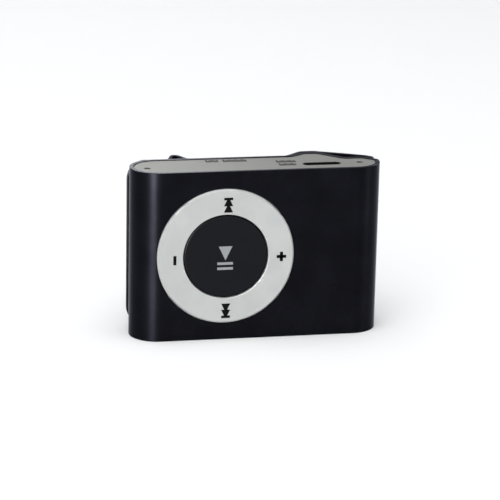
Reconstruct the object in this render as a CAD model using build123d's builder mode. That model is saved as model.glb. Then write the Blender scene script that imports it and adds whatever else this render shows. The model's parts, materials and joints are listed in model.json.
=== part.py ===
"""Pocket digital audio player with a spring clip, in millimetres.

The player stands on its long bottom side: +Z is up, the keys face -Y and the
clip is on +Y.  The origin is under the middle of the whole player.
"""
import os

from build123d import *

# ---------------------------------------------------------------- driving sizes
body_width = 48.0
body_height = 32.8
body_depth = 10.8
wall = 0.8
mid_y = -1.75  # middle plane of the body, so that keys and clip reach equally far
mid_z = body_height / 2

hump_height = 2.0  # rise of the hinge hump over the flat back
lever_recess = 2.5  # depth of the step that gives the clip's lever its stroke
lever_corner_y = 0.75  # where the round end is cut away under the tip of the lever

rim_chamfer = 0.06
cap_thickness = 1.6
cap_inset = 0.1  # how far the end caps lie under the rims of the shell
cap_gap = 0.05  # slip gap between an end cap and the shell
cap_edge_radius = 0.18
cap_screw_places = ((-20.8, -0.9), (20.0, -0.9))
cap_screw_radius = 0.4
cap_screw_head_radius = 0.55
cap_screw_head_depth = 0.45
cap_screw_seat = 1.0  # depth of the heads' seat under the cap's face
cap_screw_length = 4.0
screw_recess = (0.74, 0.18, 0.25)  # length, width and depth of the heads' cross
channel_radius = 1.1
channel_web = (2.8, 1.0)
channel_gap = 0.2

key_x = -6.5  # middle of the control ring and the centre button
ring_radius = 13.05
ring_hole_radius = 8.15
ring_gap = 0.15
ring_front = -body_depth / 2 - 0.35
ring_back = -3.7
ring_edge_chamfer = 0.3
ring_tab_radius = 14.1
ring_tab_width = 4.0
ring_tab_front = -4.12
button_radius = 7.98
button_front = -body_depth / 2 - 0.12
button_flange_radius = 8.5
button_flange_front = -3.4
button_flange_back = -2.9
button_wall = 0.9
button_face_thickness = 1.0
button_post_radius = 1.2
button_post_end = -3.75
collar_inner_radius = 8.75
collar_outer_radius = 9.55
collar_front = -3.35
collar_back = -3.0
collar_lug_depth = 0.28
seat_inner_radius = 8.65
seat_outer_radius = 9.05
seat_gap = 0.02

board_front = -1.9
board_back = -1.1
board_half_width = 18.7
socket_cutout_gap = 0.45
switch_side = 3.0
switch_height = 0.7
switch_tip = -3.4
switch_tip_radius = 0.8
switch_pitch_radius = 10.6

socket_x = 12.55
socket_y = -1.1
socket_width = 7.45
socket_opening = 2.1
socket_wall = 0.25
socket_depth = 5.2
socket_lip = 0.3  # how far the socket's mouth is wider than the slot in the cap
tongue_size = (4.0, 0.5, 3.6)

jack_x = 4.3
jack_y = 1.55
jack_bore_radius = 1.8
jack_nose_radius = 2.6
jack_width = 6.0
jack_back = 4.2
jack_length = 12.0
terminal_size = (0.3, 2.0, 1.0)

slider_x = 11.9
slider_y = 0.6
slider_travel = 2.0
slider_thumb = (2.2, 0.6)
slider_gap = 0.05
slider_stem = (1.4, 1.1, 2.6)
slider_track_depth = 0.8
switch_body = (6.0, 3.4)
switch_body_back = 2.3

light_x = -12.0
light_y = -0.6
light_radius = 0.75

battery_x = -9.4
battery_size = (18.0, 3.8, 24.0)
battery_front = -0.75
battery_edge_radius = 1.4
foam_margin = 2.0
lead_radius = 0.35
lead_y = 1.6
lead_rise = 1.6

pin_x = 12.3
pin_y = 5.4
pin_radius = 0.6
pin_end_gap = 0.5
pin_running_gap = 0.05
boss_radius = 1.12
boss_gap = 0.45  # from the end of a cap's boss to the clip's window
boss_floor = 0.3
knuckle_radius = 1.2
trough_left = 9.4
trough_right = 15.6
trough_front = 2.9
trough_wall = 0.4
spring_wire_radius = 0.2
spring_leg_radius = 0.22
spring_radius = 0.96
spring_turns = 14
spring_pitch = 0.55
leaf_thickness = 0.7
leaf_width = 2.8
leaf_margin = 1.4
clip_thickness = 0.7
clip_drop = 0.2  # how far the clip's long edges lie inside the body's height
clip_crest = 3.85  # height of the clip's ridge and hump over the flat back
clip_rest_gap = 0.05
clip_tongue_gap = 0.15

# ---------------------------------------------------------------- worked-out sizes
half_depth = body_depth / 2
half_width = body_width / 2
back = half_depth
cap_top = body_height - cap_inset
cap_inner_low = cap_inset + cap_thickness
cap_inner_high = body_height - cap_inner_low
window_low = 6.4
window_high = body_height - window_low
recess_y = back - lever_recess
cap_inner_span = cap_inner_high - cap_inner_low
trough_middle = (trough_left + trough_right) / 2
trough_width = trough_right - trough_left


def front_plane(y):
    """Plane facing the viewer at depth y of the body; its local axes are X and Z."""
    return Plane.XZ.offset(-(mid_y + y))


def level(z):
    """Level plane at height z whose origin lies on the body's middle plane."""
    return Plane.XY.offset(z).move(Location((0, mid_y, 0)))


def body_outline(inset):
    """Closed outline of the extruded body, drawn in by a distance."""
    end_radius = half_depth - 0.005
    with BuildSketch(Plane.XY) as outline:
        with BuildLine():
            FilletPolyline(
                (-half_width, -half_depth),
                (half_width, -half_depth),
                (half_width, lever_corner_y),
                (21.3, recess_y),
                (17.9, recess_y),
                (13.6, back + hump_height),
                (10.6, back + hump_height),
                (7.7, back),
                (-half_width, back),
                radius=[end_radius, end_radius, 1.2, 2.5, 2.0, 2.4, 1.2, 1.0, end_radius],
                close=True,
            )
        make_face()
        if inset:
            offset(amount=-inset, mode=Mode.REPLACE)
    return outline.sketch


def publish(piece, name):
    """Label a finished piece and write it to its own file."""
    piece.part.label = name
    export_step(piece.part, f"parts/{name}.step")


os.makedirs("parts", exist_ok=True)

# ---------------------------------------------------------------- housing
with BuildPart() as housing_shell:
    with BuildSketch(level(0)):
        add(body_outline(0))
        add(body_outline(wall), mode=Mode.SUBTRACT)
    extrude(amount=body_height)
    rims = housing_shell.edges().group_by(Axis.Z)
    chamfer(rims[0] + rims[-1], length=rim_chamfer)
    with BuildSketch(level(cap_inner_low + channel_gap)):
        web_x = half_width - wall / 2 - channel_web[0] / 2
        with Locations((-web_x, cap_screw_places[0][1]), (web_x, cap_screw_places[1][1])):
            Rectangle(*channel_web)
        with Locations(*cap_screw_places):
            Circle(channel_radius)
            Circle(cap_screw_radius + 0.02, mode=Mode.SUBTRACT)
    extrude(amount=cap_inner_span - 2 * channel_gap)
    with BuildSketch(front_plane(-half_depth / 2)):
        with Locations((key_x, mid_z)):
            Circle(ring_radius + ring_gap)
    extrude(amount=half_depth, mode=Mode.SUBTRACT)
    with BuildSketch(level(window_low)):
        with Locations((trough_middle - 0.05, back + 1.5)):
            Rectangle(trough_width - 2 * (wall - 0.5), 3.2)
    extrude(amount=window_high - window_low, mode=Mode.SUBTRACT)
publish(housing_shell, "housing_shell")

# ---------------------------------------------------------------- end caps
def end_cap(face_z, inward):
    """An end cap with two screw holes and the boss that holds one end of the hinge pin."""
    inner_z = face_z + inward * cap_thickness
    with BuildPart() as cap:
        with BuildSketch(level(face_z)):
            add(body_outline(wall + cap_gap))
        extrude(amount=inward * cap_thickness)
        rim_first = cap.edges().group_by(Axis.Z)[:: int(inward)]
        fillet(rim_first[0], radius=cap_edge_radius)
        with BuildSketch(level(inner_z)):
            with Locations((pin_x, pin_y)):
                Circle(boss_radius)
        extrude(amount=inward * (window_low - boss_gap - cap_inner_low))
        with BuildSketch(level(inner_z + inward * boss_floor)):
            with Locations((pin_x, pin_y)):
                Circle(pin_radius + 0.01)
        extrude(amount=inward * window_low, mode=Mode.SUBTRACT)
        holes = (
            (cap_screw_radius + 0.05, cap_thickness),
            (cap_screw_head_radius + 0.08, cap_screw_seat),
        )
        for radius, depth in holes:
            with BuildSketch(level(face_z)):
                with Locations(*cap_screw_places):
                    Circle(radius)
            extrude(amount=inward * depth, mode=Mode.SUBTRACT)
    return cap.part


with BuildPart() as top_end_cap:
    add(end_cap(cap_top, -1))
    with BuildSketch(level(cap_top)):
        with Locations((socket_x, socket_y)):
            SlotOverall(socket_width, socket_opening)
    extrude(amount=-cap_thickness, mode=Mode.SUBTRACT)
publish(top_end_cap, "top_end_cap")

slider_middle = slider_x + slider_travel / 2
with BuildPart() as bottom_end_cap:
    add(end_cap(cap_inset, 1))
    with BuildSketch(level(cap_inset)):
        with Locations((jack_x, jack_y)):
            Circle(jack_nose_radius + 0.05)
        with Locations((light_x, light_y)):
            Circle(light_radius + 0.03)
        with Locations((slider_middle, slider_y)):
            Rectangle(slider_travel + slider_stem[0] + 0.3, slider_stem[1] + 0.3)
    extrude(amount=cap_thickness, mode=Mode.SUBTRACT)
    with BuildSketch(level(cap_inset)):
        with Locations((slider_middle, slider_y)):
            RectangleRounded(slider_travel + slider_thumb[0] + 0.4, slider_thumb[0] + 0.4, 0.5)
    extrude(amount=slider_track_depth, mode=Mode.SUBTRACT)
publish(bottom_end_cap, "bottom_end_cap")


def cap_screws(name, seat_z, inward):
    """Two small cross-head screws whose heads stand outwards from seat_z."""
    with BuildPart() as screws:
        with BuildSketch(level(seat_z)):
            with Locations(*cap_screw_places):
                Circle(cap_screw_head_radius)
        extrude(amount=-inward * cap_screw_head_depth)
        with BuildSketch(level(seat_z)):
            with Locations(*cap_screw_places):
                Circle(cap_screw_radius)
        extrude(amount=inward * cap_screw_length)
        with BuildSketch(level(seat_z - inward * cap_screw_head_depth)):
            with Locations(*cap_screw_places):
                Rectangle(screw_recess[0], screw_recess[1])
                Rectangle(screw_recess[1], screw_recess[0])
        extrude(amount=inward * screw_recess[2], mode=Mode.SUBTRACT)
    publish(screws, name)


cap_screws("cap_screws_top", cap_top - cap_screw_seat, -1)
cap_screws("cap_screws_bottom", cap_inset + cap_screw_seat, 1)

# ---------------------------------------------------------------- keys
with BuildPart() as control_ring:
    with BuildSketch(front_plane(ring_back)):
        with Locations((key_x, mid_z)):
            Circle(ring_radius)
    extrude(amount=ring_back - ring_front)
    chamfer(control_ring.edges().sort_by(Axis.Y)[0], length=ring_edge_chamfer)
    with BuildSketch(front_plane(ring_back)):
        with Locations((key_x, mid_z)):
            with PolarLocations(0, 2, start_angle=45, angular_range=180):
                Rectangle(2 * ring_tab_radius, ring_tab_width)
    extrude(amount=ring_back - ring_tab_front)
    with BuildSketch(front_plane(ring_back)):
        with Locations((key_x, mid_z)):
            Circle(ring_hole_radius)
    extrude(amount=ring_back - ring_front, mode=Mode.SUBTRACT)
    hole_edges = control_ring.edges().filter_by(GeomType.CIRCLE).group_by(SortBy.RADIUS)[0]
    fillet(hole_edges.sort_by(Axis.Y)[0], radius=0.12)
publish(control_ring, "control_ring")

with BuildPart() as centre_button:
    with BuildSketch(front_plane(button_flange_front)):
        with Locations((key_x, mid_z)):
            Circle(button_radius)
    extrude(amount=button_flange_front - button_front)
    fillet(centre_button.edges().sort_by(Axis.Y)[0], radius=0.25)
    with BuildSketch(front_plane(button_flange_back)):
        with Locations((key_x, mid_z)):
            Circle(button_flange_radius)
    extrude(amount=button_flange_back - button_flange_front)
    with BuildSketch(front_plane(button_flange_back)):
        with Locations((key_x, mid_z)):
            Circle(button_radius - button_wall)
    extrude(
        amount=button_flange_back - button_front - button_face_thickness,
        mode=Mode.SUBTRACT,
    )
    with BuildSketch(front_plane(button_post_end)):
        with Locations((key_x, mid_z)):
            Circle(button_post_radius)
    extrude(amount=button_post_end - button_front - button_face_thickness)
publish(centre_button, "centre_button")

ring_lug_pitch = (collar_inner_radius + collar_outer_radius) / 2
seat_lug_pitch = collar_inner_radius + 0.2
with BuildPart() as gimbal_collar:
    with BuildSketch(front_plane(collar_back)):
        with Locations((key_x, mid_z)):
            Circle(collar_outer_radius)
            Circle(collar_inner_radius, mode=Mode.SUBTRACT)
    extrude(amount=collar_back - collar_front)
    with BuildSketch(front_plane(collar_front)):
        with Locations((key_x, mid_z + ring_lug_pitch), (key_x, mid_z - ring_lug_pitch)):
            Rectangle(0.8, 0.7)
    extrude(amount=collar_front - ring_back - seat_gap)
    with BuildSketch(front_plane(collar_back + collar_lug_depth)):
        with Locations((key_x + seat_lug_pitch, mid_z), (key_x - seat_lug_pitch, mid_z)):
            Rectangle(0.4, 0.8)
    extrude(amount=collar_lug_depth)
publish(gimbal_collar, "gimbal_collar")

with BuildPart() as pivot_seat:
    with BuildSketch(front_plane(board_front)):
        with Locations((key_x, mid_z)):
            Circle(seat_outer_radius)
            Circle(seat_inner_radius, mode=Mode.SUBTRACT)
    extrude(amount=board_front - (collar_back + collar_lug_depth + seat_gap))
publish(pivot_seat, "pivot_seat")

switch_places = {
    "centre": (0, 0),
    "upper": (0, switch_pitch_radius),
    "lower": (0, -switch_pitch_radius),
    "left": (-switch_pitch_radius, 0),
    "right": (switch_pitch_radius, 0),
}
for place, (across, up) in switch_places.items():
    with BuildPart() as tact_switch:
        with BuildSketch(front_plane(board_front)):
            with Locations((key_x + across, mid_z + up)):
                Rectangle(switch_side, switch_side)
        extrude(amount=switch_height)
        chamfer(tact_switch.edges().filter_by(Axis.Y), length=0.3)
        with BuildSketch(front_plane(board_front - switch_height)):
            with Locations((key_x + across, mid_z + up)):
                Circle(switch_tip_radius)
        extrude(amount=board_front - switch_height - switch_tip)
    publish(tact_switch, f"tact_switch_{place}")

# ---------------------------------------------------------------- main board
with BuildPart() as main_board:
    with BuildSketch(front_plane(board_back)):
        with Locations((0, mid_z)):
            RectangleRounded(2 * board_half_width, cap_inner_span, 1.0)
        with Locations((socket_x, cap_inner_high)):
            Rectangle(
                socket_width + 2 * socket_cutout_gap,
                2 * socket_depth + 0.3,
                mode=Mode.SUBTRACT,
            )
    extrude(amount=board_back - board_front)
publish(main_board, "main_board")


def board_block(name, centre_x, centre_z, size_x, size_z, thickness, bevel=0.1):
    """A rectangular component on the back face of the board."""
    with BuildPart() as block:
        with BuildSketch(front_plane(board_back + thickness)):
            with Locations((centre_x, centre_z)):
                Rectangle(size_x, size_z)
        extrude(amount=thickness)
        chamfer(block.edges().group_by(Axis.Y)[-1], length=bevel)
    publish(block, name)


board_block("control_chip", 4.3, 18.2, 6.0, 6.0, 0.8)
board_block("memory_chip", 12.6, 17.4, 7.0, 10.0, 0.9)
board_block("crystal", 4.3, 23.6, 3.2, 1.6, 0.7)
board_block("status_led", light_x, 2.75, 1.6, 1.1, 1.0)

capacitor_size = (1.0, 0.5, 0.5)
with BuildPart() as board_capacitors:
    with BuildSketch(front_plane(board_back + capacitor_size[2])):
        with Locations((4.3, 27.4)):
            with GridLocations(1.8, 1.6, 3, 2):
                Rectangle(capacitor_size[0], capacitor_size[1])
        with Locations((12.6, 10.2)):
            with GridLocations(1.8, 1.0, 3, 1):
                Rectangle(capacitor_size[0], capacitor_size[1])
    extrude(amount=capacitor_size[2])
publish(board_capacitors, "board_capacitors")

# ---------------------------------------------------------------- sockets and power switch
with BuildPart() as usb_socket_shell:
    with BuildSketch(level(cap_inner_high)):
        with Locations((socket_x, socket_y)):
            SlotOverall(socket_width, socket_opening + socket_lip)
    extrude(amount=-socket_depth)
    with BuildSketch(level(cap_inner_high)):
        with Locations((socket_x, socket_y)):
            SlotOverall(
                socket_width - 2 * socket_wall,
                socket_opening + socket_lip - 2 * socket_wall,
            )
    extrude(amount=-(socket_depth - socket_wall), mode=Mode.SUBTRACT)
publish(usb_socket_shell, "usb_socket_shell")

with BuildPart() as usb_socket_tongue:
    with BuildSketch(level(cap_inner_high - socket_depth + socket_wall)):
        with Locations((socket_x, socket_y + tongue_size[1] / 2)):
            Rectangle(tongue_size[0], tongue_size[1])
    extrude(amount=tongue_size[2])
publish(usb_socket_tongue, "usb_socket_tongue")

with BuildPart() as headphone_jack:
    with BuildSketch(level(cap_inner_low)):
        with Locations((jack_x, (board_back + jack_back) / 2)):
            Rectangle(jack_width, jack_back - board_back)
    extrude(amount=jack_length)
    with BuildSketch(level(cap_inset)):
        with Locations((jack_x, jack_y)):
            Circle(jack_nose_radius)
    extrude(amount=cap_thickness)
    with BuildSketch(level(cap_inset)):
        with Locations((jack_x, jack_y)):
            Circle(jack_bore_radius)
    extrude(amount=jack_length, mode=Mode.SUBTRACT)
publish(headphone_jack, "headphone_jack")

with BuildPart() as jack_terminals:
    for terminal_z in (4.0, 7.5, 11.0):
        with BuildSketch(level(terminal_z)):
            with Locations(
                (
                    jack_x + jack_width / 2 + terminal_size[0] / 2,
                    board_back + terminal_size[1] / 2,
                )
            ):
                Rectangle(terminal_size[0], terminal_size[1])
        extrude(amount=terminal_size[2])
publish(jack_terminals, "jack_terminals")

with BuildPart() as power_switch_body:
    with BuildSketch(level(cap_inner_low)):
        with Locations((slider_middle, (board_back + switch_body_back) / 2)):
            Rectangle(switch_body[0], switch_body_back - board_back)
    extrude(amount=switch_body[1])
    with BuildSketch(level(cap_inner_low)):
        with Locations((slider_middle, slider_y)):
            Rectangle(slider_travel + slider_stem[0] + 0.6, slider_stem[1] + 0.5)
    extrude(amount=switch_body[1] - 1.5, mode=Mode.SUBTRACT)
publish(power_switch_body, "power_switch_body")

with BuildPart() as power_slider:
    with BuildSketch(level(cap_inset + slider_gap)):
        with Locations((slider_x, slider_y)):
            RectangleRounded(slider_thumb[0], slider_thumb[0], 0.35)
    extrude(amount=slider_thumb[1])
    with BuildSketch(level(cap_inset + slider_gap)):
        with Locations((slider_x, slider_y)):
            with GridLocations(0.6, 0, 3, 1):
                Rectangle(0.25, 1.6)
    extrude(amount=0.2, mode=Mode.SUBTRACT)
    with BuildSketch(level(cap_inset + slider_gap + slider_thumb[1])):
        with Locations((slider_x, slider_y)):
            Rectangle(slider_stem[0], slider_stem[1])
    extrude(amount=slider_stem[2])
publish(power_slider, "power_slider")

with BuildPart() as light_pipe:
    with BuildSketch(level(cap_inset)):
        with Locations((light_x, light_y)):
            Circle(light_radius)
    extrude(amount=cap_thickness)
publish(light_pipe, "light_pipe")

# ---------------------------------------------------------------- battery
battery_back = battery_front + battery_size[1]
battery_top = mid_z + battery_size[2] / 2
with BuildPart() as battery_cell:
    with BuildSketch(front_plane(battery_back)):
        with Locations((battery_x, mid_z)):
            Rectangle(battery_size[0], battery_size[2])
    extrude(amount=battery_size[1])
    fillet(battery_cell.edges().filter_by(Axis.Z), radius=battery_edge_radius)
publish(battery_cell, "battery_cell")

with BuildPart() as battery_foam:
    with BuildSketch(front_plane(back - wall)):
        with Locations((battery_x, mid_z)):
            Rectangle(battery_size[0] - 2 * foam_margin, battery_size[2] - 2 * foam_margin)
    extrude(amount=back - wall - battery_back)
publish(battery_foam, "battery_foam")

for lead_name, lead_x in (("battery_lead_plus", -7.0), ("battery_lead_minus", -5.2)):
    with BuildPart() as lead:
        with BuildLine() as route:
            FilletPolyline(
                (lead_x, mid_y + lead_y, battery_top),
                (lead_x, mid_y + lead_y, battery_top + lead_rise),
                (lead_x, mid_y + board_back, battery_top + lead_rise),
                radius=0.8,
            )
        with BuildSketch(Plane.XY.offset(battery_top)):
            with Locations((lead_x, mid_y + lead_y)):
                Circle(lead_radius)
        sweep(path=route.line)
    publish(lead, lead_name)

# ---------------------------------------------------------------- clip hinge
with BuildPart() as hinge_trough:
    with BuildSketch(level(window_low - trough_wall)):
        add(body_outline(wall + cap_gap))
        with Locations((trough_middle, trough_front)):
            Rectangle(
                trough_width,
                body_depth,
                align=(Align.CENTER, Align.MIN),
                mode=Mode.INTERSECT,
            )
    extrude(amount=window_high - window_low + 2 * trough_wall)
    with BuildSketch(level(window_low)):
        with Locations((trough_middle, trough_front + trough_wall)):
            Rectangle(
                trough_width - 2 * trough_wall,
                body_depth,
                align=(Align.CENTER, Align.MIN),
            )
    extrude(amount=window_high - window_low, mode=Mode.SUBTRACT)
    with BuildSketch(level(0)):
        with Locations((pin_x, pin_y)):
            Circle(pin_radius + pin_running_gap)
    extrude(amount=body_height, mode=Mode.SUBTRACT)
publish(hinge_trough, "hinge_trough")

with BuildPart() as hinge_pin:
    with BuildSketch(level(cap_inner_low + pin_end_gap)):
        with Locations((pin_x, pin_y)):
            Circle(pin_radius)
    extrude(amount=cap_inner_span - 2 * pin_end_gap)
    chamfer(hinge_pin.edges(), length=0.1)
publish(hinge_pin, "hinge_pin")

spring_low = mid_z - spring_turns * spring_pitch / 2
spring_high = mid_z + spring_turns * spring_pitch / 2
coil_side = (pin_x + spring_radius, mid_y + pin_y)
with BuildPart() as clip_spring:
    with BuildLine() as coil:
        Helix(
            pitch=spring_pitch,
            height=spring_turns * spring_pitch,
            radius=spring_radius,
            center=(pin_x, mid_y + pin_y, spring_low),
        )
    with BuildSketch(Plane(coil.line @ 0, z_dir=coil.line % 0)):
        Circle(spring_wire_radius)
    sweep(path=coil.line)
    for leg_z, way, leg_length in ((spring_low, -1, 2.1), (spring_high, 1, 2.4)):
        leg_plane = Plane((*coil_side, leg_z), z_dir=(0, way, 0))
        with BuildSketch(leg_plane.offset(-spring_wire_radius)):
            Circle(spring_leg_radius)
        extrude(amount=leg_length)
publish(clip_spring, "clip_spring")

# ---------------------------------------------------------------- clip
clip_top = back + clip_crest
pad_outer = back + clip_rest_gap + clip_thickness
tongue_outer = back + clip_tongue_gap + clip_thickness
with BuildPart() as clip_plate:
    with BuildSketch(level(clip_drop)):
        with BuildLine():
            outer = FilletPolyline(
                (-23.65, pad_outer),
                (-15.8, pad_outer),
                (-14.75, clip_top),
                (-13.4, clip_top),
                (-12.0, tongue_outer),
                (7.3, tongue_outer),
                (10.5, clip_top),
                (13.4, clip_top),
                (19.2, 6.5),
                (22.6, 4.75),
                (23.95, 3.2),
                radius=[0.6, 0.95, 0.95, 0.6, 0.9, 1.3, 3.0, 3.0, 1.2],
            )
            offset(amount=clip_thickness, side=Side.RIGHT)
        make_face()
    extrude(amount=body_height - 2 * clip_drop)
    for end, corner_radius in ((0, 3.5), (-1, 0.5)):
        corners = clip_plate.edges().filter_by(
            lambda edge: abs(edge.length - clip_thickness) < 0.01
        )
        fillet(corners.group_by(Axis.X)[end], radius=corner_radius)
publish(clip_plate, "clip_plate")

leaf_low = window_low + leaf_margin
leaf_outer = clip_top - clip_thickness
with BuildPart() as clip_hinge_leaf:
    with BuildSketch(level(leaf_low)):
        with Locations((pin_x + 0.2, leaf_outer - leaf_thickness / 2)):
            Rectangle(leaf_width, leaf_thickness)
    extrude(amount=body_height - 2 * leaf_low)
    for ear_low in (leaf_low, body_height - leaf_low - leaf_thickness):
        with BuildSketch(level(ear_low)):
            with Locations((pin_x, (leaf_outer + pin_y) / 2)):
                Rectangle(2 * knuckle_radius, leaf_outer - pin_y)
            with Locations((pin_x, pin_y)):
                Circle(knuckle_radius)
                Circle(pin_radius + pin_running_gap, mode=Mode.SUBTRACT)
        extrude(amount=leaf_thickness)
    add(clip_plate.part, mode=Mode.SUBTRACT)
publish(clip_hinge_leaf, "clip_hinge_leaf")
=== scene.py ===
"""Looks of a pocket digital audio player with a control ring and a spring clip.

Every length is in metres.  Places come from the frame's boxes; sizes that the
boxes can't tell are named in millimetres and turned by MM.
"""

import json
import math

import bmesh
import bpy
from mathutils import Matrix, Vector

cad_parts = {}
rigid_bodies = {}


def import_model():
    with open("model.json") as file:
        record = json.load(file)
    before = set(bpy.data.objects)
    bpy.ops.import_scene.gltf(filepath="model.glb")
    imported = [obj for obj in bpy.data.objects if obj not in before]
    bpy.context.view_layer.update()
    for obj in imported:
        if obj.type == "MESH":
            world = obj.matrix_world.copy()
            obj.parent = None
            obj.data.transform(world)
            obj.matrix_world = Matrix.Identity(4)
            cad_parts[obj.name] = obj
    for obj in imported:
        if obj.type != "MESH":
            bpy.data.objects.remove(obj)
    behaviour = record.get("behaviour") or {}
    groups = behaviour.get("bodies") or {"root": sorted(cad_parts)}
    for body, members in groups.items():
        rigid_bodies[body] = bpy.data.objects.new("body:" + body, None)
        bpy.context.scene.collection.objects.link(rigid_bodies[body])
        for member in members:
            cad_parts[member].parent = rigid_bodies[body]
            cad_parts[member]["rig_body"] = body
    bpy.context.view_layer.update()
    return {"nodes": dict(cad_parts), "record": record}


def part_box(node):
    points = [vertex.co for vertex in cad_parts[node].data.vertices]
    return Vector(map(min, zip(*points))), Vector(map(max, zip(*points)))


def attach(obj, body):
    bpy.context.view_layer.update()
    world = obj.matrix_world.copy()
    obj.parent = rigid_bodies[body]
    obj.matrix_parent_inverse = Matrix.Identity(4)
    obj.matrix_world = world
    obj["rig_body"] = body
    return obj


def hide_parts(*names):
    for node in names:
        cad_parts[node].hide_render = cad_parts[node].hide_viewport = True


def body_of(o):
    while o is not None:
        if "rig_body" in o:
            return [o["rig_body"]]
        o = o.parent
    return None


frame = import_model()

MM = 0.001
CASE_HALF_DEPTH = 5.4 * MM
SMOOTH_ANGLE = math.radians(28)  # edges sharper than this stay sharp


def middle(node):
    """Middle of a CAD node's box."""
    low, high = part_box(node)
    return (low + high) / 2


shell_low, shell_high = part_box("housing_shell")
ring_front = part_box("control_ring")[0].y
button_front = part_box("centre_button")[0].y
cap_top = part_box("top_end_cap")[1].z
key_centre = middle("control_ring")
body_middle_y = shell_low.y + CASE_HALF_DEPTH
body_middle_z = (shell_low.z + shell_high.z) / 2


# ---------------------------------------------------------------- node maths
class Value:
    """A number, colour or shape in a node tree; numbers take part in sums."""

    def __init__(self, nodes, socket):
        self.nodes = nodes
        self.socket = socket

    def math(self, operation, *others):
        """This value put through one Math node with the others."""
        sockets = dict(enumerate((self,) + others))
        return self.nodes.make("ShaderNodeMath", sockets, operation=operation)

    def __add__(self, other):
        return self.math("ADD", other)

    def __sub__(self, other):
        return self.math("SUBTRACT", other)

    def __rsub__(self, other):
        return (self * -1.0) + other

    def __mul__(self, other):
        return self.math("MULTIPLY", other)

    __radd__ = __add__
    __rmul__ = __mul__

    def ramp(self, low, high):
        """0 below low, 1 above high, smooth between."""
        sockets = {"Value": self, "From Min": low, "From Max": high}
        return self.nodes.make("ShaderNodeMapRange", sockets, interpolation_type="SMOOTHSTEP")


class Nodes:
    """A node tree that is built node by node."""

    def __init__(self, tree):
        self.tree = tree

    def make(self, kind, sockets=None, output=0, **settings):
        """Add a node, set it up, fill its sockets and hand back one output, if any."""
        node = self.tree.nodes.new(kind)
        for name, setting in settings.items():
            setattr(node, name, setting)
        for key, value in (sockets or {}).items():
            if isinstance(value, Value):
                self.tree.links.new(value.socket, node.inputs[key])
            else:
                node.inputs[key].default_value = value
        return None if output is None else Value(self, node.outputs[output])


SHADER_SOCKETS = {
    "colour": "Base Color",
    "metallic": "Metallic",
    "roughness": "Roughness",
    "specular": "Specular IOR Level",
    "specular_tint": "Specular Tint",
    "coat": "Coat Weight",
    "coat_roughness": "Coat Roughness",
    "normal": "Normal",
    "transmission": "Transmission Weight",
    "ior": "IOR",
    "subsurface": "Subsurface Weight",
    "subsurface_scale": "Subsurface Scale",
    "sheen": "Sheen Weight",
}


class Finish(Nodes):
    """One procedural material."""

    def __init__(self, name):
        self.material = bpy.data.materials.new(name)
        self.material.use_nodes = True
        super().__init__(self.material.node_tree)
        self.shader = self.tree.nodes["Principled BSDF"]

    def place(self, stretch=(1, 1, 1), turn=(0, 0, 0)):
        """Object coordinates, turned and stretched."""
        coordinates = self.make("ShaderNodeTexCoord", output="Object")
        sockets = {"Vector": coordinates, "Rotation": turn, "Scale": stretch}
        return self.make("ShaderNodeMapping", sockets)

    def noise(self, place, size, detail=2.0, roughness=0.5):
        """Soft noise whose patches are about as wide as size."""
        sockets = {
            "Vector": place,
            "Scale": 1.0 / size,
            "Detail": detail,
            "Roughness": roughness,
        }
        return self.make("ShaderNodeTexNoise", sockets)

    def cells(self, place, size, feature="F1"):
        """Distance pattern of packed cells about as wide as size."""
        sockets = {"Vector": place, "Scale": 1.0 / size}
        return self.make("ShaderNodeTexVoronoi", sockets, output="Distance", feature=feature)

    def blend(self, factor, first, second):
        """Colour between two colours."""
        sockets = {0: factor, 6: first, 7: second}
        return self.make("ShaderNodeMix", sockets, output=2, data_type="RGBA")

    def axis(self, place, index):
        """One coordinate of a place."""
        return self.make("ShaderNodeSeparateXYZ", {0: place}, output=index)

    def bump(self, height, depth, strength):
        """A raised surface from a height pattern."""
        sockets = {"Height": height, "Distance": depth, "Strength": strength}
        return self.make("ShaderNodeBump", sockets)

    def surface(self, **inputs):
        """Set or link the shader's sockets, named in lower case with underscores."""
        for name, value in inputs.items():
            target = self.shader.inputs[SHADER_SOCKETS[name]]
            if isinstance(value, Value):
                self.tree.links.new(value.socket, target)
            else:
                target.default_value = value
        return self.material


def shade(colour, factor):
    """A colour made lighter or darker."""
    return tuple(min(1.0, part * factor) for part in colour[:3]) + (1.0,)


# ---------------------------------------------------------------- finishes
def anodised_finish(name, colour, edge_tint, streak=(1, 1, 1), roughness=0.33):
    """Dyed anodised aluminium: blasted grain, faint cloudiness and rubbed patches."""
    finish = Finish(name)
    place = finish.place()
    grain = finish.noise(finish.place(streak), 0.07 * MM, 3.0, 0.6)
    pits = finish.cells(place, 0.11 * MM)
    cloud = finish.noise(place, 7 * MM, 3.0)
    speck = grain.ramp(0.56, 0.74)
    rub = finish.noise(place, 2.2 * MM, 5.0, 0.7).ramp(0.55, 0.8)
    tone = finish.blend(cloud.ramp(0.3, 0.7), shade(colour, 0.88), shade(colour, 1.12))
    tone = finish.blend(speck * 0.5, tone, shade(colour, 2.2))
    rough = grain * 0.08 + cloud * 0.05 + rub * 0.04 + (roughness - 0.08)
    return finish.surface(
        colour=tone,
        roughness=rough,
        metallic=1.0,
        specular_tint=edge_tint,
        normal=finish.bump(grain + pits * 0.5, 0.004 * MM, 0.3),
    )


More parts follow.
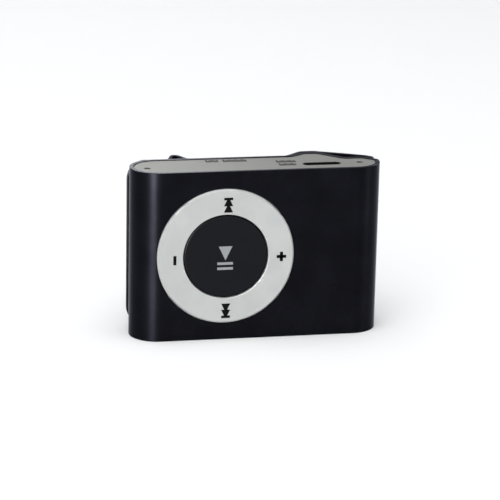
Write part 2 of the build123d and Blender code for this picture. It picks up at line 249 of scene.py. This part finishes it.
def moulded_finish(
    name, colour, roughness=0.5, grain_size=0.12, depth=0.006, specular=0.45
):
    """Moulded plastic with a fine spark-eroded texture and slight flow marks."""
    finish = Finish(name)
    place = finish.place()
    grain = finish.noise(place, grain_size * MM, 3.0, 0.55)
    flow = finish.noise(finish.place((0.4, 1, 1)), 5 * MM, 4.0, 0.6)
    dust = finish.noise(place, 0.5 * MM, 5.0, 0.75).ramp(0.66, 0.8)
    tone = finish.blend(flow.ramp(0.3, 0.7), shade(colour, 0.96), shade(colour, 1.03))
    tone = finish.blend(dust * 0.12, tone, shade(colour, 0.7))
    rough = grain * 0.14 + flow * 0.08 + (roughness - 0.11)
    return finish.surface(
        colour=tone,
        roughness=rough,
        specular=specular,
        normal=finish.bump(grain, depth * MM, 0.6),
    )


def white_key_finish(name):
    """Glossy white plastic, slightly translucent, with faint handling marks."""
    finish = Finish(name)
    place = finish.place()
    fine = finish.noise(place, 0.25 * MM, 3.0, 0.5)
    wave = finish.noise(place, 6 * MM, 2.0)
    marks = finish.noise(finish.place((1, 1, 0.25), turn=(0, 0.5, 0)), 0.35 * MM, 6.0, 0.7)
    smudge = marks.ramp(0.6, 0.78)
    cooler, warmer = (0.493, 0.506, 0.496, 1), (0.535, 0.547, 0.532, 1)
    tone = finish.blend(wave.ramp(0.35, 0.7), cooler, warmer)
    tone = finish.blend(smudge * 0.1, tone, (0.5, 0.5, 0.47, 1))
    return finish.surface(
        colour=tone,
        roughness=fine * 0.08 + smudge * 0.12 + 0.28,
        coat=0.15,
        coat_roughness=0.2,
        subsurface=0.06,
        subsurface_scale=0.6 * MM,
        normal=finish.bump(fine + wave * 2.0, 0.004 * MM, 0.4),
    )


def metal_finish(name, colour, roughness, streak=(1, 1, 1)):
    """Bare or plated metal with drawn or stamped streaks and light tarnish."""
    finish = Finish(name)
    lines = finish.noise(finish.place(streak), 0.15 * MM, 4.0, 0.6)
    stain = finish.noise(finish.place(), 1.6 * MM, 4.0, 0.6).ramp(0.45, 0.75)
    tone = finish.blend(stain, shade(colour, 1), shade(colour, 0.72))
    return finish.surface(
        colour=tone,
        metallic=1.0 - stain * 0.12,
        roughness=lines * 0.16 + stain * 0.1 + (roughness - 0.1),
        normal=finish.bump(lines, 0.004 * MM, 0.5),
    )


def print_finish(name, colour):
    """Screen-printed ink: nearly flat, a little uneven and slightly worn."""
    finish = Finish(name)
    place = finish.place()
    mesh = finish.noise(place, 0.09 * MM, 2.0)
    worn = finish.noise(place, 0.4 * MM, 4.0, 0.7).ramp(0.6, 0.8)
    tone = finish.blend(worn * 0.15, colour, shade(colour, 1.35))
    return finish.surface(
        colour=tone,
        roughness=mesh * 0.15 + 0.5,
        specular=0.03,
        normal=finish.bump(mesh, 0.003 * MM, 0.4),
    )


def board_finish(name):
    """Green solder mask over copper tracks on glass-fibre laminate."""
    finish = Finish(name)
    place = finish.place()
    weave = finish.noise(finish.place((1, 1, 4)), 0.5 * MM, 1.0)
    row_pitch, column_pitch = 0.9 * MM, 1.1 * MM
    across = (finish.axis(place, "X") * (2 * math.pi / row_pitch)).math("SINE")
    up = (finish.axis(place, "Z") * (2 * math.pi / column_pitch)).math("SINE")
    region = finish.noise(place, 3.5 * MM, 0.0)
    rows = across.ramp(0.45, 0.6) * region.ramp(0.5, 0.52)
    columns = up.ramp(0.45, 0.6) * (1 - region.ramp(0.5, 0.52))
    track = rows + columns
    tone = finish.blend(track, (0.012, 0.10, 0.045, 1), (0.03, 0.2, 0.085, 1))
    return finish.surface(
        colour=tone,
        roughness=weave * 0.15 + 0.25,
        coat=0.3,
        normal=finish.bump(track + weave * 0.2, 0.02 * MM, 0.6),
    )


def foil_finish(name):
    """Crinkled silver battery pouch, darker in the creases and lighter on the crinkles' ridges as
    painted shade and painted highlight.
    """
    finish = Finish(name)
    place = finish.place()
    crease = finish.noise(place, 2.5 * MM, 5.0, 0.65)
    fine = finish.cells(place, 0.8 * MM, "SMOOTH_F1")
    # Darker and lighter silver following the crinkle heights: painted shade in the creases and
    # painted highlight on the ridges.
    darker, lighter = (0.44, 0.45, 0.47, 1), (0.62, 0.63, 0.65, 1)
    tone = finish.blend(crease.ramp(0.3, 0.7), darker, lighter)
    return finish.surface(
        colour=tone,
        metallic=0.9,
        roughness=crease * 0.2 + 0.28,
        normal=finish.bump(crease + fine * 0.3, 0.08 * MM, 0.5),
    )


def foam_finish(name, colour):
    """Closed-cell foam with open pores on its cut faces, painted darker inside the pores as
    painted shade and lighter on the cell walls between them.
    """
    finish = Finish(name)
    place = finish.place()
    pores = finish.cells(place, 0.35 * MM)
    # Darker inside each pore and lighter on the cell walls: painted shade in the pores.
    tone = finish.blend(pores.ramp(0.1, 0.6), shade(colour, 0.5), shade(colour, 1.4))
    return finish.surface(
        colour=tone,
        roughness=pores * 0.1 + 0.85,
        sheen=0.2,
        normal=finish.bump(pores, 0.08 * MM, 0.8),
    )


def clear_finish(name):
    """Frosted clear plastic of the light pipe."""
    finish = Finish(name)
    place = finish.place()
    frost = finish.noise(place, 0.15 * MM, 3.0)
    tone = finish.blend(frost, (0.72, 0.78, 0.82, 1), (0.86, 0.9, 0.92, 1))
    return finish.surface(
        colour=tone,
        roughness=frost * 0.2 + 0.2,
        transmission=0.7,
        ior=1.49,
        normal=finish.bump(frost, 0.01 * MM, 0.5),
    )


finishes = {
    "anodised_shell": anodised_finish(
        "anodised_shell", (0.0062, 0.0063, 0.0084, 1), (0.65, 0.65, 0.69, 1), roughness=0.28
    ),
    "anodised_clip": anodised_finish(
        "anodised_clip", (0.017, 0.0172, 0.0202, 1), (0.4, 0.4, 0.42, 1), (0.12, 1, 1)
    ),
    "grey_cap": moulded_finish("grey_cap", (0.155, 0.156, 0.141), 0.46, 0.14),
    "screw_steel": metal_finish("screw_steel", (0.22, 0.22, 0.23), 0.35),
    "white_key": white_key_finish("white_key"),
    "dark_key": moulded_finish("dark_key", (0.0024, 0.0028, 0.0056), 0.4, 0.1, 0.004, 0.07),
    "inner_plastic": moulded_finish("inner_plastic", (0.03, 0.03, 0.033), 0.45),
    "board_laminate": board_finish("board_laminate"),
    "chip_resin": moulded_finish("chip_resin", (0.018, 0.018, 0.02), 0.55, 0.08),
    "tinned_steel": metal_finish("tinned_steel", (0.55, 0.56, 0.57), 0.3, (1, 1, 0.2)),
    "capacitor_ceramic": moulded_finish("capacitor_ceramic", (0.32, 0.22, 0.13), 0.5),
    "led_resin": moulded_finish("led_resin", (0.75, 0.72, 0.6), 0.3),
    "clear_plastic": clear_finish("clear_plastic"),
    "connector_plastic": moulded_finish(
        "connector_plastic", (0.006, 0.006, 0.006), 0.5, specular=0.15
    ),
    "contact_brass": metal_finish("contact_brass", (0.72, 0.52, 0.22), 0.28, (1, 1, 0.3)),
    "slider_plastic": moulded_finish("slider_plastic", (0.5, 0.51, 0.49), 0.48),
    "battery_pouch": foil_finish("battery_pouch"),
    "foam": foam_finish("foam", (0.05, 0.05, 0.052)),
    "lead_red": moulded_finish("lead_red", (0.45, 0.02, 0.02), 0.4),
    "lead_black": moulded_finish("lead_black", (0.02, 0.02, 0.02), 0.4),
    "pin_steel": metal_finish("pin_steel", (0.42, 0.42, 0.43), 0.25, (1, 1, 0.15)),
    "switch_steel": metal_finish("switch_steel", (0.5, 0.5, 0.5), 0.3),
}
black_print = print_finish("black_print", (0.0012, 0.0012, 0.0014, 1))
grey_print = print_finish("grey_print", (0.33, 0.34, 0.35, 1))
cap_print = print_finish("cap_print", (0.012, 0.012, 0.012, 1))


# ---------------------------------------------------------------- pieces
def put(name, data):
    """A new object in the scene."""
    piece = bpy.data.objects.new(name, data)
    bpy.context.scene.collection.objects.link(piece)
    return piece


def new_piece(name, mesh, body, material):
    """An object for a finished mesh, riding on a body."""
    piece = put(name, mesh)
    mesh.materials.clear()
    mesh.materials.append(material)
    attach(piece, body)
    return piece


def plain_mesh(name, work):
    """A mesh from a bmesh, which is freed."""
    mesh = bpy.data.meshes.new(name)
    work.to_mesh(mesh)
    work.free()
    return mesh


def settle(mesh):
    """Smooth shading that breaks at sharp edges."""
    mesh.shade_smooth()
    mesh.set_sharp_from_angle(angle=SMOOTH_ANGLE)


def baked(piece):
    """The piece's mesh with its modifiers worked in; the piece itself is removed."""
    graph = bpy.context.evaluated_depsgraph_get()
    mesh = bpy.data.meshes.new_from_object(piece.evaluated_get(graph))
    bpy.data.objects.remove(piece)
    return mesh


WELD_GAP = 0.0001 * MM
FLAT_ANGLE = math.radians(0.3)  # neighbouring faces this level become one
BEVEL_ANGLE = math.radians(40)
BEVEL_STEPS = 3
NORMAL_WEIGHT = 60


def fine_copy(node, slot, edge=0.0):
    """A copy of a CAD node with welded points, smooth curves and edges bevelled by edge."""
    source = frame["nodes"][node]
    work = bmesh.new()
    work.from_mesh(source.data)
    bmesh.ops.remove_doubles(work, verts=work.verts, dist=WELD_GAP)
    bmesh.ops.dissolve_limit(work, angle_limit=FLAT_ANGLE, verts=work.verts, edges=work.edges)
    mesh = plain_mesh(node, work)
    settle(mesh)
    piece = put(node + "_work", mesh)
    if edge:
        bevel = piece.modifiers.new("edge", "BEVEL")
        bevel.width = edge * MM
        bevel.segments = BEVEL_STEPS
        bevel.limit_method = "ANGLE"
        bevel.angle_limit = BEVEL_ANGLE
    weigh = piece.modifiers.new("normals", "WEIGHTED_NORMAL")
    weigh.keep_sharp = True
    weigh.weight = NORMAL_WEIGHT
    body = body_of(source)[0]
    copy = new_piece(node + "_fine", baked(piece), body, finishes[slot])
    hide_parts(node)


def flat_mesh(name, outlines, thickness, plane):
    """Thin solids from closed outlines in millimetres, laid on a plane."""
    work = bmesh.new()
    for outline in outlines:
        corners = [work.verts.new((x * MM, y * MM, 0)) for x, y in outline]
        face = work.faces.new(corners)
        raised = bmesh.ops.extrude_face_region(work, geom=[face])["geom"]
        tops = [item for item in raised if isinstance(item, bmesh.types.BMVert)]
        bmesh.ops.translate(work, verts=tops, vec=(0, 0, thickness * MM))
    bmesh.ops.recalc_face_normals(work, faces=work.faces)
    bmesh.ops.transform(work, matrix=plane, verts=work.verts)
    return plain_mesh(name, work)


def block(x, y, width, height):
    """Corners of an upright rectangle about a centre."""
    w, h = width / 2, height / 2
    return [(x - w, y - h), (x + w, y - h), (x + w, y + h), (x - w, y + h)]


def wedge(x, base, tip, width, tip_width=0.06):
    """Corners of an arrowhead with a level base and a narrow blunt tip."""
    w, t = width / 2, tip_width / 2
    return [(x - w, base), (x + w, base), (x + t, tip), (x - t, tip)]


def upright(x, y, z):
    """Plane through a point that faces the keys' side, with X across and Y up."""
    return Matrix.Translation((x, y, z)) @ Matrix.Rotation(math.radians(90), 4, "X")


# Signs on the keys, in millimetres from the middle of the ring
INK = 0.012  # how far a print stands over its surface
SINK = 0.006  # how far it reaches into the surface
SKIP_BAR = (1.7, 0.5)  # width and height
SKIP_BAR_LEVEL = 1.2
SKIP_ARROW_LEVELS = ((-0.2, 1.1), (-1.42, -0.1))  # base and tip of each arrowhead
SKIP_ARROW_WIDTHS = (1.75, 0.5)  # at the base and at the blunt tip
UPPER_SKIP = (0.32, 10.0)
LOWER_SKIP = (0.12, -10.65)
MINUS = (-9.72, -0.4, 0.58, 1.8)
PLUS = (10.65, -0.35)
PLUS_BAR = (1.85, 0.6)
PLAY_ARROW = (-0.05, 1.95, -0.7, 2.6)  # middle, base, tip and width
PAUSE_BARS = ((-0.1, -1.4), (-0.1, -2.38))
PAUSE_BAR = (3.0, 0.5)


def skip_sign(x, y, way):
    """Two arrowheads that point up or down at a bar."""
    sign = [block(x, y + way * SKIP_BAR_LEVEL, *SKIP_BAR)]
    for base, tip in SKIP_ARROW_LEVELS:
        sign.append(wedge(x, y + way * base, y + way * tip, *SKIP_ARROW_WIDTHS))
    return sign


def printed(name, outlines, front, body, ink):
    """A sign on a key whose face is at front."""
    face = upright(key_centre.x, front + SINK * MM, key_centre.z)
    new_piece(name, flat_mesh(name, outlines, INK + SINK, face), body, ink)


ring_signs = skip_sign(*UPPER_SKIP, 1) + skip_sign(*LOWER_SKIP, -1)
ring_signs += [block(*MINUS), block(*PLUS, *PLUS_BAR), block(*PLUS, *PLUS_BAR[::-1])]
printed("ring_signs", ring_signs, ring_front, "control_ring", black_print)

play_sign = [wedge(*PLAY_ARROW)] + [block(*place, *PAUSE_BAR) for place in PAUSE_BARS]
printed("play_sign", play_sign, button_front, "centre_button", grey_print)


# ---------------------------------------------------------------- rows of bars
BAR_ROW_INPUTS = {
    "Bars": "NodeSocketInt",
    "Pitch": "NodeSocketFloat",
    "Bar Size": "NodeSocketVector",
    "First Foot": "NodeSocketVector",
    "Uneven": "NodeSocketFloat",
    "Finish": "NodeSocketMaterial",
}


def bar_row_tree():
    """Node tree of a row of bars along X that stand level at their feet.

    Uneven, from 0 to 1, shortens the second bar of every three to 0.72 of its
    height and the third to 0.86.
    """
    group = bpy.data.node_groups.new("bar_row", "GeometryNodeTree")
    for name, kind in BAR_ROW_INPUTS.items():
        group.interface.new_socket(name, in_out="INPUT", socket_type=kind)
    group.interface.new_socket("Row", in_out="OUTPUT", socket_type="NodeSocketGeometry")
    row = Nodes(group)
    given = {name: row.make("NodeGroupInput", output=name) for name in BAR_ROW_INPUTS}
    step = row.make("ShaderNodeCombineXYZ", {"X": given["Pitch"]})
    line_sockets = {
        "Count": given["Bars"],
        "Start Location": given["First Foot"],
        "Offset": step,
    }
    feet = row.make("GeometryNodeMeshLine", line_sockets)
    bar = row.make("GeometryNodeMeshCube", {"Size": given["Bar Size"]})
    lift_sockets = {0: given["Bar Size"], 1: (0, 0.5, 0.5)}
    lift = row.make("ShaderNodeVectorMath", lift_sockets, operation="MULTIPLY")
    bar = row.make("GeometryNodeTransform", {"Geometry": bar, "Translation": lift})
    turn = row.make("GeometryNodeInputIndex").math("MODULO", 3)
    height = 1 - given["Uneven"] * (turn * 0.49 - turn * turn * 0.21)
    scale = row.make("ShaderNodeCombineXYZ", {"X": 1, "Y": height, "Z": 1})
    bar_sockets = {"Points": feet, "Instance": bar, "Scale": scale}
    bars = row.make("GeometryNodeInstanceOnPoints", bar_sockets)
    solid = row.make("GeometryNodeRealizeInstances", {"Geometry": bars})
    finish_sockets = {"Geometry": solid, "Material": given["Finish"]}
    finished = row.make("GeometryNodeSetMaterial", finish_sockets)
    row.make("NodeGroupOutput", {"Row": finished}, output=None)
    return group


bar_rows = bar_row_tree()


def bar_row(plane, **values):
    """Mesh of one row of bars on a plane, its inputs named in lower case."""
    host = put("bar_row", bpy.data.meshes.new("bar_row"))
    modifier = host.modifiers.new("bars", "NODES")
    modifier.node_group = bar_rows
    for item in bar_rows.interface.items_tree:
        if item.in_out == "INPUT":
            modifier[item.identifier] = values[item.name.lower().replace(" ", "_")]
    mesh = baked(host)
    mesh.transform(plane)
    return mesh


# Neutral marks on the top cap, in millimetres
TICK_PITCH = 0.42
TICK_SHARE = 0.72  # part of the pitch that a tick fills
TICK_ROWS = (  # left end, right end, middle and height
    (-9.1, -6.6, 3.1, 1.8),
    (-5.8, -1.2, 3.0, 1.8),
    (4.2, 8.0, 1.35, 1.7),
    (4.3, 7.6, -0.95, 1.7),
)


def tick_row(left, right, y, height):
    """A row of small upright ticks on the top cap."""
    count = round((right - left) / TICK_PITCH)
    step = (right - left) / count
    return bar_row(
        Matrix.Translation((0, body_middle_y, cap_top - SINK * MM)),
        bars=count,
        pitch=step * MM,
        bar_size=Vector((step * TICK_SHARE, height, INK + SINK)) * MM,
        first_foot=Vector((left + step / 2, y - height / 2, 0)) * MM,
        uneven=1.0,
        finish=cap_print,
    )


work = bmesh.new()
for row in TICK_ROWS:
    work.from_mesh(tick_row(*row))
new_piece("cap_marks", plain_mesh("cap_marks", work), "housing", cap_print)


# ---------------------------------------------------------------- sleeves
def band(name, rows):
    """A closed band through rows of points that go round both ways."""
    work = bmesh.new()
    rows = [[work.verts.new(point) for point in row] for row in rows]
    for first, second in zip(rows, rows[1:] + rows[:1]):
        for i in range(len(first)):
            j = (i + 1) % len(first)
            work.faces.new((first[i], first[j], second[j], second[i]))
    bmesh.ops.recalc_face_normals(work, faces=work.faces)
    mesh = plain_mesh(name, work)
    settle(mesh)
    return mesh


def circle(steps):
    """Directions round a circle, as cosine and sine."""
    angles = [2 * math.pi * step / steps for step in range(steps)]
    return [(math.cos(angle), math.sin(angle)) for angle in angles]


# Black sleeve in the data socket's slot, from the cap's face down to the metal shell: a dark
# sheet that stands in for the shade inside the slot
SHADE_SLEEVE_HALF_LENGTH = 3.7 * MM
SHADE_SLEEVE_RADIUS = 1.03 * MM
SHADE_SLEEVE_WALL = 0.1 * MM
SHADE_SLEEVE_DEPTH_UNDER_FACE = 0.03 * MM
SHADE_SLEEVE_OVERLAP = 0.4 * MM  # with the socket's shell

socket_centre = middle("usb_socket_shell")
shade_sleeve_reach = SHADE_SLEEVE_HALF_LENGTH - SHADE_SLEEVE_RADIUS
shade_sleeve_top = cap_top - SHADE_SLEEVE_DEPTH_UNDER_FACE
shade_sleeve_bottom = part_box("usb_socket_shell")[1].z - SHADE_SLEEVE_OVERLAP


def shade_sleeve_row(inset, level):
    """One round-ended outline of the socket's sleeve."""
    radius = SHADE_SLEEVE_RADIUS - inset
    points = []
    for c, s in circle(48):
        side = shade_sleeve_reach if c >= 0 else -shade_sleeve_reach
        points.append((socket_centre.x + side + radius * c, socket_centre.y + radius * s, level))
    return points


shade_sleeve_rows = [
    shade_sleeve_row(0, shade_sleeve_bottom),
    shade_sleeve_row(0, shade_sleeve_top),
    shade_sleeve_row(SHADE_SLEEVE_WALL, shade_sleeve_top),
    shade_sleeve_row(SHADE_SLEEVE_WALL, shade_sleeve_bottom),
]
# The sleeve takes the black connector plastic as painted shade inside the slot.
shade_sleeve = finishes["connector_plastic"]
new_piece("slot_lining", band("slot_lining", shade_sleeve_rows), "housing", shade_sleeve)

# Spring contacts on the data socket's tongue, in millimetres
CONTACTS = 5
CONTACT_PITCH = 0.65
CONTACT_SIZE = (0.32, 2.6, 0.056)
CONTACT_RISE = 0.3  # of their middle over the tongue's middle

tongue = middle("usb_socket_tongue")
tongue_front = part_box("usb_socket_tongue")[0].y
contact_finish = finishes["contact_brass"]
first_contact = (-CONTACT_PITCH * (CONTACTS - 1) / 2, CONTACT_RISE - CONTACT_SIZE[1] / 2, 0)
contact_mesh = bar_row(
    upright(tongue.x, tongue_front + SINK * MM, tongue.z),
    bars=CONTACTS,
    pitch=CONTACT_PITCH * MM,
    bar_size=Vector(CONTACT_SIZE) * MM,
    first_foot=Vector(first_contact) * MM,
    uneven=0.0,
    finish=contact_finish,
)
new_piece("socket_contacts", contact_mesh, "housing", contact_finish)

# Sprung collars inside the headphone jack, in millimetres
COLLARS = (("jack_sleeve", 0.35), ("jack_contact", 6.0))  # name and height over the base
COLLAR_LENGTH = 1.2
COLLAR_WALL = 0.08
COLLAR_PROUD = 0.06  # how far a collar stands into the bore

jack = next(m for m in frame["record"]["mounts"] if m["name"] == "headphone_jack_bore")
jack_x, jack_y, _ = jack["pos_m"]
collar_inside = jack["dims"]["r_mm"] - COLLAR_PROUD
collar_outside = collar_inside + COLLAR_WALL
for name, low in COLLARS:
    high = low + COLLAR_LENGTH
    outline = [(collar_inside, low), (collar_outside, low)]
    outline += [(collar_outside, high), (collar_inside, high)]
    rows = [
        [(jack_x + r * MM * c, jack_y + r * MM * s, z * MM) for r, z in outline]
        for c, s in circle(64)
    ]
    new_piece(name, band(name, rows), "housing", contact_finish)

# ---------------------------------------------------------------- CAD nodes
slot_of = {part["node"]: part["material_slot"] for part in frame["record"]["subparts"]}
for node, source in frame["nodes"].items():
    source.data.materials.clear()
    source.data.materials.append(finishes[slot_of[node]])

OUTER_NODES = (
    "housing_shell",
    "top_end_cap",
    "bottom_end_cap",
    "cap_screws_top",
    "cap_screws_bottom",
    "control_ring",
    "centre_button",
    "headphone_jack",
    "light_pipe",
    "power_slider",
    "hinge_pin",
)
for node in OUTER_NODES:
    fine_copy(node, slot_of[node])
for node, edge in (("clip_plate", 0.09), ("clip_hinge_leaf", 0.05)):
    fine_copy(node, slot_of[node], edge)

# ---------------------------------------------------------------- camera, lights, floor
CAMERA_AZIMUTH, CAMERA_ELEVATION, CAMERA_ROLL = -11.76, 16.32, 1.21
CAMERA_DISTANCE = 443 * MM
CAMERA_LENS = 167.4
CAMERA_NEAR = 0.01
AIM_SHIFT = (-0.73 * MM, -0.58 * MM)  # of the aim from the case's middle, across and up


def outward(azimuth, elevation):
    """Direction from the player towards a camera or light; azimuth 0 is in front."""
    a, e = math.radians(azimuth), math.radians(elevation)
    return Vector((math.sin(a) * math.cos(e), -math.cos(a) * math.cos(e), math.sin(e)))


aim = Vector((AIM_SHIFT[0], body_middle_y, body_middle_z + AIM_SHIFT[1]))
away = outward(CAMERA_AZIMUTH, CAMERA_ELEVATION)
camera = put("camera", bpy.data.cameras.new("camera"))
camera.data.lens = CAMERA_LENS
camera.data.clip_start = CAMERA_NEAR
camera.location = aim + away * CAMERA_DISTANCE
facing = (-away).to_track_quat("-Z", "Y").to_matrix()
roll = Matrix.Rotation(math.radians(CAMERA_ROLL), 3, "Z")
camera.rotation_euler = (facing @ roll).to_euler()
bpy.context.scene.camera = camera

# Name, azimuth and elevation, distance, width and height, watts, shine only
LIGHTS = (
    ("overhead", -30, 74, 1.2, (1.2, 1.2), 9.5, False),
    ("front_fill", -35, 28, 1.1, (0.7, 0.5), 2.6, False),
    ("left_strip", -27, 0.0, 2.5, (0.14, 0.03), 245, True),
    ("right_strip", 60, -0.3, 1.0, (0.05, 0.04), 6.0, True),
    ("back_card", -173, 17, 0.5, (0.3, 0.2), 0.53, True),
    ("back_left_strip", -128, 42, 0.9, (0.12, 0.7), 9, True),
    ("back_right_strip", 118, 48, 0.9, (0.12, 0.7), 8, True),
)
SKY_COLOUR = (0.96, 0.98, 1, 1)
SKY_STRENGTH = 0.55
FLOOR_REACH = 6.0


def soft_box(name, azimuth, elevation, distance, size, power, shine_only):
    """An area light aimed at the player; a shine-only one lights no matt surface."""
    light = bpy.data.lights.new(name, "AREA")
    light.shape = "RECTANGLE"
    light.size, light.size_y = size
    light.energy = power
    box = put(name, light)
    way = outward(azimuth, elevation)
    box.location = Vector((0, 0, body_middle_z)) + way * distance
    box.rotation_euler = (-way).to_track_quat("-Z", "Y").to_euler()
    box.visible_diffuse = not shine_only


for settings in LIGHTS:
    soft_box(*settings)

world = bpy.data.worlds.new("studio")
world.use_nodes = True
sky = world.node_tree.nodes["Background"].inputs
sky["Color"].default_value = SKY_COLOUR
sky["Strength"].default_value = SKY_STRENGTH
bpy.context.scene.world = world
bpy.context.scene.view_settings.view_transform = "Standard"


def floor_finish():
    """Pale paper with a barely visible tooth."""
    finish = Finish("pale_paper")
    tooth = finish.noise(finish.place(), 0.6 * MM, 3.0)
    tone = finish.blend(tooth, (0.945, 0.945, 0.945, 1), (0.965, 0.965, 0.965, 1))
    return finish.surface(colour=tone, roughness=tooth * 0.1 + 0.8, specular=0.1)


floor_mesh = bpy.data.meshes.new("floor")
corners = [(x * FLOOR_REACH, y * FLOOR_REACH, 0) for x, y in ((-1, -1), (1, -1), (1, 1), (-1, 1))]
floor_mesh.from_pydata(corners, [], [(0, 1, 2, 3)])
floor_mesh.materials.append(floor_finish())
floor = put("floor", floor_mesh)
